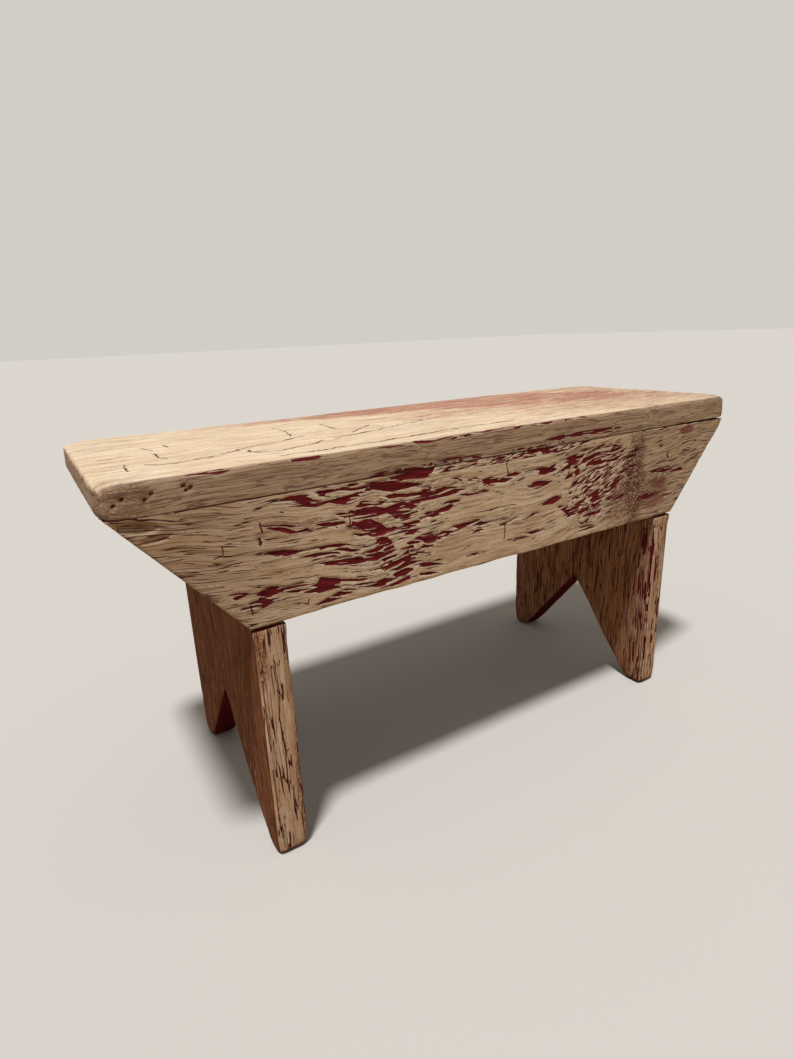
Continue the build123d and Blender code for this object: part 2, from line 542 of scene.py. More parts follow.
# %% [markdown]
# ## Aprons
# The aprons show the torn film best. Its large openings lie in two clusters, one round a knot near the left
# leg and a finer one towards the right, where the film has crumbled like sand. Random cells alone would
# spread them evenly, so the large ones are listed one by one and the random ones only fill in round them.

# %% Front apron: crowded spots and large tears
FRONT_SPOTS = [
    (-105, 246, 44, 40, -0.1, 0.5),
    (-110, 225, 20, 26, -0.5, 0.6),
    (-150, 279, 60, 5, 0.0, 0.6),
    (-60, 268, 50, 9, 0.0, 0.35),
    (10, 283, 120, 4, 0.0, 0.7),
    (-30, 231, 60, 6, 0.1, 0.3),
    (116, 240, 46, 36, 0.25, 0.95),
    (100, 266, 60, 14, 0.0, 0.55),
    (-60, 212, 60, 10, 0.1, 0.2),
    (212, 240, 30, 8, 0.0, 0.3),
]
FRONT_TEARS = [
    (-171, 276, 30, 5, -0.05, 0),
    (-109, 277, 40, 5, -0.1, 0),
    (-133, 262, 38, 8, -0.1, 0),
    (-102, 258, 32, 7.5, -0.15, 0),
    (-127, 249, 24, 9, -0.4, 0),
    (-191, 261, 30, 4.5, -0.25, 0),
    (-155, 258, 30, 4.5, -0.2, 0),
    (-159, 238, 62, 7, -0.06, 2),
    (-143, 228, 50, 5.5, -0.05, 0),
    (-115, 232, 16, 9, -0.8, 0),
    (-101, 216, 34, 12, -0.3, 0),
    (-174, 215, 50, 7.5, -0.1, 1),
    (-154, 205, 34, 4, 0.2, 0),
    (-122, 205, 34, 4, -0.1, 0),
    (-216, 212, 24, 5, 0.05, 0),
    (-208, 219, 16, 5, 0, 0),
    (-234, 221, 16, 3, 0, 0),
    (-146, 273, 20, 4, 0, 0),
    (-83, 265, 24, 4, 0, 0),
    (-194, 244, 26, 3, -0.15, 0),
    (-133, 213, 42, 3.5, 0.1, 0),
    (-85, 231, 24, 4, 0.15, 0),
    (-53, 232, 44, 3, 0.12, 0),
    (-83, 283, 44, 5, 0, 0),
    (-162, 282, 40, 3, 0, 0),
    (-63, 264, 30, 6, 0.05, 0),
    (-39, 261, 34, 4.5, -0.12, 0),
    (-58, 252, 20, 5, 0.25, 0),
    (-17, 266, 28, 4.5, -0.3, 0),
    (8, 264, 26, 7, 0.0, 0),
    (43, 265, 38, 4, -0.1, 0),
    (37, 254, 28, 4.5, 0.0, 0),
    (75, 268, 26, 6, 0.25, 0),
    (58, 283, 32, 5.5, 0, 0),
    (25, 285, 44, 4, 0, 0),
    (-16, 282, 34, 3, 0, 0),
    (114, 266, 28, 6, 0.1, 0),
    (142, 266, 40, 4, 0.1, 0),
    (119, 276, 28, 4, 0, 0),
    (91, 250, 18, 3.5, 0.2, 0),
    (73, 256, 10, 5, 0, 0),
    (109, 234, 16, 3.5, 0.15, 0),
    (55, 238, 20, 4, 0.15, 0),
    (84, 226, 22, 4, 0.4, 0),
    (72, 226, 18, 4, -0.5, 0),
    (15, 228, 34, 3, 0.08, 0),
    (26, 212, 34, 2, 0.05, 0),
    (214, 241, 46, 3.5, -0.06, 0),
    (184, 219, 26, 4, 0, 0),
]
print("front apron:", len(FRONT_SPOTS), "crowded spots and", len(FRONT_TEARS), "large tears")

# %% Front apron: rubbed and crumbled places
FRONT_RUBBED = [
    (238, 279, 13, 5, 0, 1.0),
    (200, 231, 15, 8, 0, 0.9),
    (166, 236, 18, 50, 0, 0.3),
    (190, 214, 26, 12, 0, 0.8),
    (-214, 222, 18, 5, 0, 0.6),
    (-190, 262, 30, 10, 0, 0.45),
]
FRONT_PEBBLED = [(163, 238, 17, 54, -0.2, 0.9), (146, 224, 24, 26, 0.2, 0.6), (190, 224, 28, 14, 0, 0.5)]
print("front apron:", len(FRONT_RUBBED), "rubbed and", len(FRONT_PEBBLED), "crumbled places")

# %% [markdown]
# ## Rear apron
# It is the front one's twin and has stood in the same rooms, so it has the same kinds of wear. Its mesh could
# be a turned copy, but nobody would believe the same tears twice, so it gets lists of its own.

# %% Rear apron: where it is worn
REAR_RUBBED = [(-190, 225, 60, 26, 0, 0.8), (90, 280, 70, 6, 0, 0.7)]
REAR_PEBBLED = [(-40, 244, 16, 44, 0.2, 0.9)]
REAR_SPOTS = [
    (150, 250, 60, 32, 0.1, 0.7),
    (40, 262, 90, 16, 0.0, 0.5),
    (-120, 236, 70, 26, -0.15, 0.6),
    (-30, 214, 80, 8, 0.05, 0.4),
    (0, 283, 160, 4, 0.0, 0.6),
]
REAR_TEARS = [
    (160, 262, 44, 8, 0.1, 0),
    (126, 250, 36, 7, 0.15, 1),
    (181, 244, 40, 6, 0.05, 0),
    (146, 233, 46, 5, 0.1, 0),
    (60, 268, 40, 5, 0.0, 0),
    (18, 259, 34, 6, -0.1, 0),
    (-88, 246, 38, 6, -0.1, 0),
    (-134, 238, 52, 7, -0.12, 1),
    (-110, 224, 34, 5, -0.1, 0),
    (-166, 252, 28, 4, -0.2, 0),
    (-20, 214, 40, 4, 0.05, 0),
]
print("rear apron:", len(REAR_SPOTS), "crowded spots and", len(REAR_TEARS), "large tears")

# %% [markdown]
# ## Ruling of the aprons
# The grain of an apron bows a little and climbs to the right, and everything else follows it. Both aprons
# share one rule, which is handed the lists. Two rules written out would be longer and could disagree.

# %% Ruling of the aprons
APRON_CELL = (26 * MM, 3.7 * MM)
NAIL_ABOVE_EDGE = 22 * MM
NAIL_BELOW_SEAT = 29 * MM
NAIL_LEVELS = (APRON_FOOT + NAIL_ABOVE_EDGE, UNDER_SEAT - NAIL_BELOW_SEAT)
NAIL_HEADS = [(end * LEG_MIDDLE, level) for end in (-1, 1) for level in NAIL_LEVELS]
BARE_HEADS = [(end * LEG_MIDDLE, NAIL_LEVELS[1]) for end in (-1, 1)]
EATEN = [(-287, 280, 14, 4, -0.15, 1.0), (-275, 271, 9, 1.8, 0.1, 0.7)]  # gnawed at the left upper corner
BOW_MIDDLE, CLIMB_START, CLIMB_LENGTH = 20 * MM, 40 * MM, 120 * MM


def apron_ruling(spots, tears, rubbed_spots, pebbled_spots):
    """The ruling of one apron, from its lists of crowded spots, large tears, rubbed and crumbled places."""

    def ruling(graph, place, normal):
        x, y, z = graph.split(place)
        facing_in = graph.split(normal)[1] * graph.maths("SIGN", y) * -1
        outer = graph.ease(HALF_DEPTH - abs(y), 5 * MM, 1.5 * MM)
        slow = wander(graph, place, (70 * MM, 60 * MM, 38 * MM))
        quick = wander(graph, place, (22 * MM, 12 * MM, 8 * MM), 2.0, 2.0)
        bend = wander(graph, place, (42 * MM, 24 * MM, 15 * MM), 7.0)[2]

        # The line of the grain
        bow = (x - BOW_MIDDLE) * (x - BOW_MIDDLE) * 0.18
        climb = (x - CLIMB_START).most(0.0).least(CLIMB_LENGTH) * 0.1
        level = z - (bow + climb) + slow[2] * (16 * MM) + bend * (6 * MM)
        torn_x = x + quick[0] * (8 * MM)
        torn_z = z + quick[1] * (2.6 * MM) + slow[1] * (5 * MM)

        # What is sunk: nail heads, the gnawed corner and a slow unevenness below the joint
        sunk = dimples(graph, x, z, NAIL_HEADS, 5 * MM, 0.4 * MM)
        sunk = sunk.most(dimples(graph, x, z, BARE_HEADS, 2.2 * MM, 1.4 * MM))
        eaten = crowd(graph, x, z, EATEN) * outer
        lower = graph.ease(z, UNDER_SEAT - 4 * MM, UNDER_SEAT - 16 * MM)

        # What is worn round, what is dirty at both ends, and the gnawed corner, which is darkened
        corner = graph.ease(abs(x), LEG_OUT + 66 * MM, apron_high.x - 4 * MM) * 0.7
        low_arris = graph.ease(slow[1] + quick[0] * 0.4, 0.0, 0.2, 0.0, 0.5)
        left_end = graph.ease(x, -140 * MM, -280 * MM, 0.06, 0.7)
        right_end = graph.ease(x, 100 * MM, 200 * MM, 0.06, 0.55)
        return {
            "weave": graph.vector(x + slow[0] * (20 * MM), level, y),
            "crowding": crowd(graph, x, z, spots) * outer,
            "tears": (lenses(torn_x, torn_z, tears) + 0.5 * MM) * outer - (1 - outer) * (10 * MM),
            "rubbed": crowd(graph, x, z, rubbed_spots).most(facing_in * 0.7),
            "pebbled": crowd(graph, x + quick[0] * (16 * MM), z, pebbled_spots) * outer,
            "grime": left_end.most(right_end).most(eaten),
            "cream": graph.ease(facing_in + quick[0] * 0.8, 0.6, 0.3),
            "wear": low_arris.most(corner),
            "sunk": sunk * outer + eaten * (3.0 * MM) + (slow[0] + 0.5) * (0.6 * MM) * lower,
        }

    return ruling


print("nail heads on an apron at", [round(level / MM) for level in NAIL_LEVELS], "mm up")

# %% [markdown]
# ## Seat
# Hands, pails and feet have rubbed the top. The cream is worn through to a pink wash towards the rear and the
# right, and it has chipped off along the front arris. The front edge has a few worm holes near its left end.

# %% Seat: where it is worn
SEAT_CELL = (60 * MM, 3.2 * MM)
OVER_LEG = 30 * MM
OVER_APRON = 91.5 * MM
NAIL_PITCH = 120 * MM
SEAT_NAILS = [(end * LEG_MIDDLE, side * OVER_LEG) for end in (-1, 1) for side in (-1, 1)]
SEAT_NAILS += [(turn * NAIL_PITCH, side * OVER_APRON) for turn in (-1.5, -0.5, 0.5, 1.5) for side in (-1, 1)]
CHIPPED = [(-240, 16), (-174, 14), (-85, 40), (5, 60), (80, 16)]
SEAT_HOLES = [(-296, 294.5), (-290.5, 298), (-278, 295.5), (-274, 299)]
SEAT_HOLES += [(-254, 297.5), (-255, 301), (-251, 299)]
SEAM_SPOTS = [(-70, 287, 60, 3, 0.0, 0.9), (30, 287, 50, 3, 0, 0.9), (90, 291, 60, 4, 0, 0.6)]
PINK_SPOTS = [
    (50, 78, 210, 44, -0.05, 0.92),
    (-70, 88, 150, 20, 0, 0.75),
    (140, 40, 160, 60, -0.2, 0.9),
    (200, 5, 110, 50, -0.1, 0.8),
    (260, 50, 100, 80, 0, 0.5),
    (60, 10, 130, 40, 0, 0.6),
    (240, -60, 110, 30, 0, 0.5),
    (190, 0, 190, 110, 0, 0.62),
]
CRUMBLED_CORNER = [(-292, 296, 22, 16, 0, 0.35)]
print("seat:", len(SEAT_NAILS), "nails,", len(CHIPPED), "chips and", len(SEAT_HOLES), "worm holes")


# %% Ruling of the seat
def seat_ruling(graph, place, normal):
    """Tears at the front, a top rubbed pink, hollows where it is sunk, grime on the front edge, and grime with
    painted shade on the end faces.
    """
    x, y, z = graph.split(place)
    facing_down = graph.split(normal)[2] * -1
    outward = y + HALF_DEPTH
    slow = wander(graph, place, (90 * MM, 45 * MM, 60 * MM), 9.0)
    quick = wander(graph, place, (16 * MM, 8 * MM, 8 * MM), 4.0, 2.0)
    front = graph.ease(outward, 5 * MM, 1 * MM)
    on_top = graph.ease(z, TOP - 5 * MM, TOP - 2 * MM)

    # Chips along the front arris, and a torn seam at the joint
    seam = crowd(graph, x, z, SEAM_SPOTS) * front
    chip = crowd(graph, x, z * 0, [(middle, 0, half, 1, 0.0, 1.0) for middle, half in CHIPPED])
    from_arris = (TOP - z).most(outward)
    chips = chip * (4.0 * MM) - 1.3 * MM - from_arris + quick[1] * (5 * MM)

    # Hollows: nail heads, worm holes, uneven edges and ends
    nails = dimples(graph, x, y, SEAT_NAILS, 4.5 * MM, 0.35 * MM) * graph.ease(z, TOP - 4 * MM, TOP - 2 * MM)
    pits = dimples(graph, x, z, [(a * MM, b * MM) for a, b in SEAT_HOLES], 2.0 * MM, 1.1 * MM) * front
    clear = graph.ease(z, UNDER_SEAT + 2 * MM, UNDER_SEAT + 12 * MM)
    low = graph.ease(z, UNDER_SEAT + 6 * MM, UNDER_SEAT)
    end_arris = graph.ease(abs(x), HALF_LENGTH - 6 * MM, HALF_LENGTH - 1 * MM) * low
    end_grain = graph.ease(abs(x), HALF_LENGTH - 7 * MM, HALF_LENGTH - 2 * MM)
    on_end = end_arris * (1.5 * MM) + end_grain * graph.ease(quick[0], 0.0, 0.2) * (1.2 * MM)
    hollows = nails + pits + (slow[0] + 0.5) * (0.9 * MM) * clear + abs(quick[2]) * (0.5 * MM) * on_top

    # What is worn round, rubbed and dirty, and the end faces, darkened as grime and as painted shade
    corner = graph.ease(abs(x), HALF_LENGTH - 22 * MM, HALF_LENGTH - 5 * MM)
    corner = corner * graph.ease(abs(y), HALF_DEPTH - 22 * MM, HALF_DEPTH - 7 * MM)
    ragged = graph.ease(slow[2] + quick[0] * 0.35, -0.1, 0.25, 0.1, 0.55)
    arris = ragged * graph.ease(z, UNDER_SEAT + 4 * MM, UNDER_SEAT + 8 * MM)
    pink = crowd(graph, x, y, PINK_SPOTS) * on_top
    crumbled = crowd(graph, x, z, CRUMBLED_CORNER) * graph.ease(y, -70 * MM, -95 * MM)
    # Front edge grimy; the upright end faces nearly as dark, partly end-grain grime, partly painted shade.
    grimy_edge_and_shaded_ends = graph.ease(outward, 4 * MM, 1 * MM, 0.0, 0.95).most(end_grain * (1 - on_top) * 0.95)
    across = y + slow[1] * (12 * MM) + quick[1] * (2 * MM)
    return {
        "weave": graph.vector(x + slow[0] * (25 * MM), across, z + slow[2] * (9 * MM)),
        "crowding": seam.most(graph.ease(slow[2], 0.0, 0.3, 0.0, 0.06)),
        "tears": chips,
        "rubbed": pink.most(facing_down * 0.7),
        "pebbled": crumbled,
        "grime": grimy_edge_and_shaded_ends.most(graph.ease(x, 80 * MM, 280 * MM, 0.0, 0.22)),
        "cream": graph.ease(facing_down + quick[0] * 0.8, 0.6, 0.3),
        "wear": arris.most(corner),
        "sunk": hollows + on_end,
    }


# %% [markdown]
# ## Legs
# The grain of a leg stands upright, so its cracks do too, and the weave of the paint is turned with it. The
# sawn faces of the V and the soles never got the cream, and the band without cream runs a few millimetres up
# each foot as painted contact shade. The broad faces were handled and splashed most, so they are worn and
# brown:
# the brown is partly stain and partly painted shade, the warm light a wooden floor throws into their shade.
# The film has come off along the arrises.

# %% Legs: where they are worn
LEG_CELL = (34 * MM, 2.6 * MM)
LEG_TEARS = [
    (158, 201.5, 62, 4.5, 0.0, 0),
    (112, 201, 56, 5, 0.01, 0),
    (66, 202.5, 60, 4.5, 0.0, 0),
    (26, 203, 34, 4, 0.02, 0),
    (132, 209, 40, 2.5, 0, 0),
    (60, 213, 44, 2, 0, 0),
    (92, 219, 36, 2, 0, 0),
]
LEG_CRUMBLED = [(221, 172, 6, 26, 0, 0.6), (200, 60, 5, 60, 0, 0.5)]
NOTCH_SPLIT = 0.8 * MM  # half the width of the crack above the V
print("legs:", len(LEG_TEARS), "tears on the right front edge, listed as (height, x)")


# %% Ruling of the legs
def leg_ruling(graph, place, normal):
    """Upright cracks, brown broad faces, bare oxblood in the V, and crumbled arrises."""
    x, y, z = graph.split(place)
    slow = wander(graph, place, (30 * MM, 40 * MM, 90 * MM), 6.0)
    quick = wander(graph, place, (6 * MM, 7 * MM, 18 * MM), 1.0, 2.0)
    facing_x, _, facing_z = graph.split(normal)

    # Which face this is
    broad = graph.ease(abs(facing_x), 0.6, 0.85)
    sawn = graph.ease(facing_z, -0.3, -0.5) * graph.ease(z, 3 * MM, 5 * MM)
    # The lowest few millimetres of each foot lose the cream and darken: an unpainted sole, and painted contact
    # shade.
    sole_and_contact_shade = graph.ease(z + quick[0] * (2 * MM), 4 * MM, 2 * MM)
    foot = graph.ease(z, 26 * MM, 2 * MM)
    off_front = graph.ease(y, 5 * MM - HALF_DEPTH, 8 * MM - HALF_DEPTH)

    # The arrises, where the film came off
    inner_arris = graph.ease(LEG_IN + 3.5 * MM - abs(x) + quick[1] * (5 * MM), 0.0, 2 * MM)
    inner_arris = inner_arris * graph.ease(abs(y), HALF_DEPTH - 9 * MM, HALF_DEPTH - 2 * MM)
    beside_arris = graph.ease(abs(x), LEG_IN + 3 * MM, LEG_IN + 1 * MM)
    beside_arris = beside_arris * graph.ease(y, 26 * MM - HALF_DEPTH, 6 * MM - HALF_DEPTH)
    outer_arris = graph.ease(abs(x), LEG_OUT - 5 * MM, LEG_OUT)
    outer_arris = outer_arris * graph.ease(abs(y), HALF_DEPTH - 6 * MM, HALF_DEPTH)

    # A crack above the V, and long tears on the front edge
    split = NOTCH_SPLIT - abs(y - 2 * MM + quick[1] * (2 * MM))
    split = split.least(z - NOTCH_HEIGHT + 6 * MM).least((x - LEG_IN).most(0.0) * -1 + 4 * MM)
    edge_tears = lenses(z, x + quick[0] * (3 * MM), LEG_TEARS) - off_front * (10 * MM)

    crumbled = crowd(graph, abs(x), z, LEG_CRUMBLED)
    rough = graph.ease(slow[2] + quick[0] * 0.3, -0.05, 0.2, 0.15, 0.6)
    below_joint = graph.ease(z, APRON_FOOT - 4 * MM, APRON_FOOT - 16 * MM)
    return {
        "weave": graph.vector(z, y + slow[1] * (9 * MM) + quick[1] * (1.6 * MM), x + slow[0] * (6 * MM)),
        "crowding": (broad * 0.1 + inner_arris * 0.45).most(beside_arris * 0.6).least(1.0),
        "tears": split.most(edge_tears).most(-10 * MM),
        "rubbed": broad * graph.ease(abs(x), LEG_MIDDLE - 4 * MM, LEG_MIDDLE + 4 * MM, 0.6, 1.0),
        "pebbled": crumbled * (1 - broad),
        # Broad faces: grime, and painted warm shade. The band at the bottom of the foot: painted contact
        # shade.
        "grime": broad.most(0.5).most(sole_and_contact_shade),
        "cream": (1 - sawn) * (1 - sole_and_contact_shade),
        "wear": rough.most(outer_arris).most(foot) * below_joint,
        "sunk": (slow[0] + 0.5) * (0.7 * MM) + abs(quick[1]) * (0.6 * MM),
    }


# %% [markdown]
# ## The paint
# Under everything lies oxblood red, a milk paint that soaked into the pine. Over it lies the cream, thick,
# chalky and dirty in its pores. A picture of old paint wrapped round each board would blur close by, and it
# would repeat. One shader mixes the two coats instead, by the same torn film that cut the mesh, and adds
# what is too fine for a mesh: hairline cracks, grime in the grain and paint worn thin.

# %% Colours of the paint
CREAM = (0.80, 0.60, 0.40, 1.0)
CREAM_WARM = (0.66, 0.45, 0.27, 1.0)
CREAM_PALE = (0.92, 0.77, 0.58, 1.0)
OXBLOOD = (0.26, 0.022, 0.025, 1.0)
OXBLOOD_DARK = (0.085, 0.010, 0.012, 1.0)
PINK = (0.40, 0.135, 0.092, 1.0)
MAROON = (0.165, 0.050, 0.016, 1.0)
FADED_RED = (0.27, 0.085, 0.070, 1.0)
DIRT = (0.080, 0.023, 0.018, 1.0)
CRACK = (0.115, 0.040, 0.024, 1.0)
STAIN = (0.26, 0.145, 0.080, 1.0)
# Brown stain for the legs' broad faces, warmed to paint in the warm shade light of a wooden floor.
BROWN_STAIN_AND_WARM_BOUNCE = (0.35, 0.125, 0.046, 1.0)
OLD_WOOD = (0.20, 0.115, 0.065, 1.0)
print("cream is", round(CREAM[0] / OXBLOOD[0], 1), "times as bright as oxblood in red")

# %% What the paint reads from a board
FIBRE = (22 * MM, 0.9 * MM, 0.9 * MM)
STREAK = (70 * MM, 2.2 * MM, 2.2 * MM)
CLOUD = (45 * MM, 14 * MM, 14 * MM)
SPECK = (1.6 * MM, 1.6 * MM, 1.6 * MM)
JOINT_REACH = (0.3 * MM, 0.1 * MM)


def surface(graph, name, kind="Fac"):
    """One of the marks that the geometry tree kept on the mesh."""
    return graph.node("ShaderNodeAttribute", {"attribute_name": name}, {}, kind)


def read_board(graph, cell):
    """All that the coats need to know of a spot: its kept marks, the torn film and four shared noises."""
    spot = SimpleNamespace(**{mark: surface(graph, mark) for mark in KEPT_MARKS})
    spot.weave = surface(graph, "weave", "Vector")
    spot.plank = surface(graph, "plank", "Vector")
    spot.place = graph.split(spot.plank)
    spot.cream = spot.cream * (1 - graph.ease(abs(spot.place[2] - UNDER_SEAT), *JOINT_REACH))
    spot.field = torn(graph, spot.weave, spot.crowding, spot.tears, cell)
    spot.hole = graph.ease(spot.field, -0.06 * MM, 0.06 * MM)
    spot.fibre = graph.noise(graph.stretched(spot.weave, *FIBRE), 3.0, 0.6)
    spot.streaks = graph.noise(graph.stretched(spot.weave, *STREAK, 3.3), 4.0, 0.65)
    spot.cloud = graph.noise(graph.stretched(spot.weave, *CLOUD, 8.0), 3.0, 0.6)
    spot.specks = graph.noise(graph.stretched(spot.plank, *SPECK), 2.0, 0.7)
    return spot


# %% [markdown]
# ## The cream coat
# Old cream is never one colour. It has yellowed in clouds, it is paler where a brush left it thick, and it
# holds grime in its pores and slits. Layers of Mix nodes lay these over each other in the order in which
# they came about, which is easier to tune than one ramp with many stops.

# %% Slits and crumbs
CRUMB = (4.2 * MM, 3.0 * MM, 3.0 * MM)


def grimy_slits(graph, spot, dash):
    """Thin dark dashes along the grain, wider where the mark of grime and shade is high. dash is their length
    and width.
    """
    length, width = dash
    thread = abs(graph.noise(graph.stretched(spot.weave, length, width, width * 1.4, 1.9), 1.5, 0.5) - 0.5)
    gate = graph.noise(graph.stretched(spot.weave, length * 0.5, width * 1.6, width * 2, 4.7), 1.0)
    wide = graph.ease(gate + spot.grime.least(0.7) * 0.33, 0.46, 0.7, 0.0, 0.036)
    return graph.ease(thread - wide, -0.012, 0.0, 1.0, 0.0)


def crumb_gaps(graph, spot):
    """Dark gaps between the crumbs, where the film broke up like sand."""
    crumbs = graph.flakes(graph.stretched(spot.weave, *CRUMB, 1.0)) + (spot.specks - 0.5) * 0.6
    return graph.ease(crumbs + spot.cloud * 0.3, 0.2, 0.34, 0.9, 0.0) * spot.pebbled


# %% Cream
def cream_coat(graph, spot, look, rim, dashes, broken):
    """The cream's colour at every spot, with its stains, worn places and dirt, painted shade beside the tears
    and a painted highlight on the rims.
    """
    coat = graph.mix(graph.ease(spot.cloud + look.fresh, 0.35, 0.65), CREAM_WARM, CREAM)
    coat = graph.mix(graph.ease(spot.streaks, 0.46, 0.62, 0.0, look.streaky), coat, CREAM_PALE)

    # Stains in the low streaks and in the pores, painted shade beside the tears where raised flakes would
    # shade the film, and grime with painted shade over all that is handled
    coat = graph.mix(graph.ease(spot.streaks, 0.44, 0.34) * (spot.grime * 0.3 + 0.45), coat, look.stain)
    coat = graph.mix(graph.ease(spot.specks, 0.56, 0.72, 0.0, 0.5 - look.fresh), coat, look.stain)
    # Painted shade: a darker ring round each tear, up to 0.3 of the stain colour.
    coat = graph.mix(graph.ease(spot.field, -2.4 * MM, -0.6 * MM, 0.0, 0.3), coat, look.stain)
    # This darkening is grime, and painted shade on the seat's end faces and the legs' broad faces.
    grime_and_shade_share = (graph.ease(spot.fibre, 0.5, 0.3, 0.0, 0.3) + 0.66) * spot.grime
    dull = graph.ease(spot.cloud, 0.5, 0.75, 0.0, 0.2) + grime_and_shade_share
    coat = graph.mix(dull.least(0.86), coat, look.stain)

    # Worn thin where it is rubbed, a painted highlight along each torn rim where the curled film would catch
    # the light, then dirt in slits, fibres and crumbs
    worn = spot.rubbed * 0.37 + (spot.cloud - 0.5) * 0.4 + (spot.fibre - 0.5) * 0.7
    thin = graph.ease(spot.streaks + spot.specks * 0.25 + worn, 0.78, 1.0)
    thin = thin * graph.ease(spot.rubbed, 0.05, 0.4)
    coat = graph.mix(thin * 0.88, coat, look.worn_to)
    # Painted highlight: the torn rims are lightened towards pale cream.
    coat = graph.mix(rim * (1 - spot.grime * 0.7) * 0.65, coat, CREAM_PALE)
    coat = graph.mix(dashes * look.dirt, coat, DIRT)
    coat = graph.mix(graph.ease(spot.fibre, 0.38, 0.28, 0.0, look.dirt * 0.8), coat, DIRT)
    coat = graph.mix(spot.pebbled * 0.5, coat, look.stain)
    return graph.mix(broken, coat, OXBLOOD_DARK)


# %% [markdown]
# ## The oxblood under it
# The first coat is thin, so it is uneven along the fibres. Where there never was any cream, it is darkened
# most
# of the way to dark oxblood: partly age, partly painted shade for the deep shade in the sawn V. On bare places
# the old wood shows through. It could be a shader of its own, mixed in at the tears, but as a colour under the
# cream it shares one bump and one roughness with it.

# %% Oxblood
def oxblood_under(graph, spot):
    """The colour that shows through the tears, and on the faces that never got the cream."""
    under = graph.mix(graph.ease(spot.fibre, 0.35, 0.7), OXBLOOD_DARK, OXBLOOD)
    # Partly age, partly painted shade: faces without cream go most of the way to dark oxblood.
    under = graph.mix(graph.ease(spot.cream, 1.0, 0.0, 0.0, 0.85), under, OXBLOOD_DARK)
    bare = (1 - spot.cream) * graph.ease(spot.streaks + spot.rubbed * 0.3, 0.62, 0.8)
    under = graph.mix(bare, under, OLD_WOOD)
    # Darker where the mark of grime and shade is high: real grime, and painted shade on the legs.
    return graph.mix(spot.grime * 0.4, under, OXBLOOD_DARK)


# %% [markdown]
# ## Cracks drawn one by one
# Some long checks and short cross cracks give the bench its own face, so noise can't place them. Each is a
# bent line with a few corners. A small node group measures the distance to one straight piece of it, and
# the nearest piece counts. Slow noise makes the line wobble, and fine noise frays it.

# %% Distance to a bent line
def segment_tool():
    """A node group that measures how far a spot is from a straight piece of line: its start and its run."""
    tree = bpy.data.node_groups.new("distance to a segment", "ShaderNodeTree")
    for label in ("Spot", "Start", "Run"):
        tree.interface.new_socket(name=label, in_out="INPUT", socket_type="NodeSocketVector")
    tree.interface.new_socket(name="Distance", in_out="OUTPUT", socket_type="NodeSocketFloat")
    graph = Graph(tree)
    given = tree.nodes.new("NodeGroupInput")
    spot, start, run = (Wire(graph, given.outputs[number]) for number in range(3))
    off = graph.vector_maths("SUBTRACT", spot, start)
    length_squared = graph.vector_maths("DOT_PRODUCT", run, run, output=1)
    share = (graph.vector_maths("DOT_PRODUCT", off, run, output=1) / length_squared).most(0.0).least(1.0)
    foot = graph.vector_maths("MULTIPLY", graph.vector(share, share, share), run)
    away = graph.vector_maths("DISTANCE", off, foot, output=1)
    out = tree.nodes.new("NodeGroupOutput")
    tree.links.new(away.socket, out.inputs[0])
    return tree


SEGMENT = segment_tool()
print("one piece of line takes", len(SEGMENT.nodes), "nodes")


def near_lines(graph, place_a, place_b, lines):
    """Metres to the nearest of several bent lines, each a list of (a, b) points in millimetres."""
    spot = graph.vector(place_a, place_b, 0.0)
    total = None
    for points in lines:
        for start, end in zip(points, points[1:]):
            run = [(after - before) * MM for before, after in zip(start, end)]
            sockets = {"Spot": spot, "Start": (start[0] * MM, start[1] * MM, 0.0), "Run": (*run, 0.0)}
            away = graph.node("ShaderNodeGroup", {"node_tree": SEGMENT}, sockets)
            total = away if total is None else total.least(away)
    return total


# %% Cracks over the coats
DRIFT = (12 * MM, 12 * MM, 12 * MM)


def drawing(axes, face, width, wobble, colour, lines):
    """Cracks drawn on one face. axes: the two that a point gives. face: the third, and where they fade in."""
    return SimpleNamespace(axes=axes, face=face, width=width, wobble=wobble, colour=colour, lines=lines)


def draw_cracks(graph, spot, drawings, colour, height):
    """Lays each face's cracks over the colour and cuts them into the height."""
    drift = graph.split(graph.noise(graph.stretched(spot.plank, *DRIFT), 3.0, 0.6, output=1))
    strength = graph.ease(spot.cloud, 0.35, 0.58, 0.75, 1.0)
    frayed = (spot.fibre + spot.specks - 1.0) * (0.5 * MM)
    for group in drawings:
        point = [spot.place[axis] + (drift[axis] - 0.5) * group.wobble for axis in group.axes]
        away = near_lines(graph, *point, group.lines) + frayed
        hair = graph.ease(away, group.width * 0.7, group.width + 0.25 * MM, 1.0, 0.0) * spot.cream
        axis, inside, reached = group.face
        hair = hair * graph.ease(spot.place[axis], inside, reached)
        colour = graph.mix(hair * strength, colour, group.colour)
        height = height - hair * 0.6
    return colour, height


# %% [markdown]
# ## One paint, three looks
# All five boards got the same two coats. Three shaders could be written for seat, aprons and legs, but they
# would drift apart, so one function makes all the paint. What differs is how each board was used: the seat
# was wiped often, and the legs were kicked and splashed. That is a handful of named values.

# %% Paint shader
PLAIN_LOOK = {
    "dash": (42 * MM, 1.7 * MM),  # length and width of the grimy slits
    "dirt": 1.0,  # how dark the slits are
    "streaky": 0.85,  # how much the pale streaks show
    "fresh": 0.0,  # how little the cream has yellowed
    "worn_to": PINK,  # what shows where the cream is rubbed thin
    # The stain colour also paints shade: beside the tears, on the seat's end faces and on the legs' broad
    # faces.
    "stain": STAIN,  # what darkens the pores and the handled places
    "shine": 0.06,  # how much the dry paint mirrors
}


def new_material(name):
    """A material with an empty tree, and the graph that fills it."""
    material = bpy.data.materials.new(name)
    material.use_nodes = True
    material.node_tree.nodes.clear()
    return material, Graph(material.node_tree)


